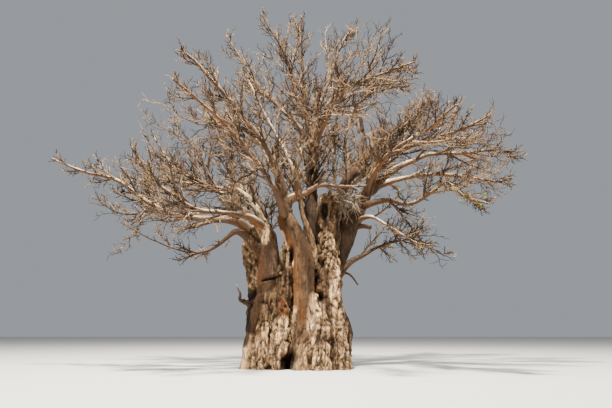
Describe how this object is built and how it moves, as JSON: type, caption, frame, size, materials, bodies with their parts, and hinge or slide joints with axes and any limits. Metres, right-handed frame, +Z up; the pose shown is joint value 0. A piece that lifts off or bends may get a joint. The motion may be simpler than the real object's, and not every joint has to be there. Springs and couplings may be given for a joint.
{
  "type": "baobab tree",
  "caption": "Old bare-crowned baobab tree: a massive fluted trunk that splits into thick stems, long tapering boughs and fine leafless twigs.",
  "frame": {"origin": "middle of the flat cut under the trunk, at ground level", "axes": "+Z up the trunk, -Y towards the camera of the picture, +X to that camera's right"},
  "size_m": [22.7501, 16.4876, 17.5471],
  "materials": {
    "trunk_bark": "rough",
    "bough_bark": "rough",
    "twigs": "rough",
    "dead_sticks": "rough"
  },
  "bodies": {
    "root": {"bough_back_left": "bough_bark", "bough_back_middle": "bough_bark", "bough_back_right": "bough_bark", "bough_front_left": "bough_bark", "bough_front_middle": "bough_bark", "bough_front_right": "bough_bark", "bough_high_left": "bough_bark", "bough_high_left_inner": "bough_bark", "bough_high_right_back": "bough_bark", "bough_high_right_front": "bough_bark", "bough_left_back": "bough_bark", "bough_left_back_high": "bough_bark", "bough_left_far": "bough_bark", "bough_left_front": "bough_bark", "bough_left_low": "bough_bark", "bough_left_mid": "bough_bark", "bough_right_back": "bough_bark", "bough_right_back_low": "bough_bark", "bough_right_back_rising": "bough_bark", "bough_right_far": "bough_bark", "bough_right_front": "bough_bark", "bough_right_front_low": "bough_bark", "bough_right_rising": "bough_bark", "bough_top_far_left": "bough_bark", "bough_top_left": "bough_bark", "bough_top_middle": "bough_bark", "bough_top_right": "bough_bark", "stem_back_right": "trunk_bark", "stem_middle": "trunk_bark", "stem_right": "trunk_bark", "tangle_left": "dead_sticks", "tangle_right": "dead_sticks", "trunk": "trunk_bark", "twigs_back_left": "twigs", "twigs_back_middle": "twigs", "twigs_back_right": "twigs", "twigs_front_left": "twigs", "twigs_front_middle": "twigs", "twigs_front_right": "twigs", "twigs_high_left": "twigs", "twigs_high_left_inner": "twigs", "twigs_high_right_back": "twigs", "twigs_high_right_front": "twigs", "twigs_left_back": "twigs", "twigs_left_back_high": "twigs", "twigs_left_far": "twigs", "twigs_left_front": "twigs", "twigs_left_low": "twigs", "twigs_left_mid": "twigs", "twigs_right_back": "twigs", "twigs_right_back_low": "twigs", "twigs_right_back_rising": "twigs", "twigs_right_far": "twigs", "twigs_right_front": "twigs", "twigs_right_front_low": "twigs", "twigs_right_rising": "twigs", "twigs_top_far_left": "twigs", "twigs_top_left": "twigs", "twigs_top_middle": "twigs", "twigs_top_right": "twigs"}
  },
  "joints": []
}
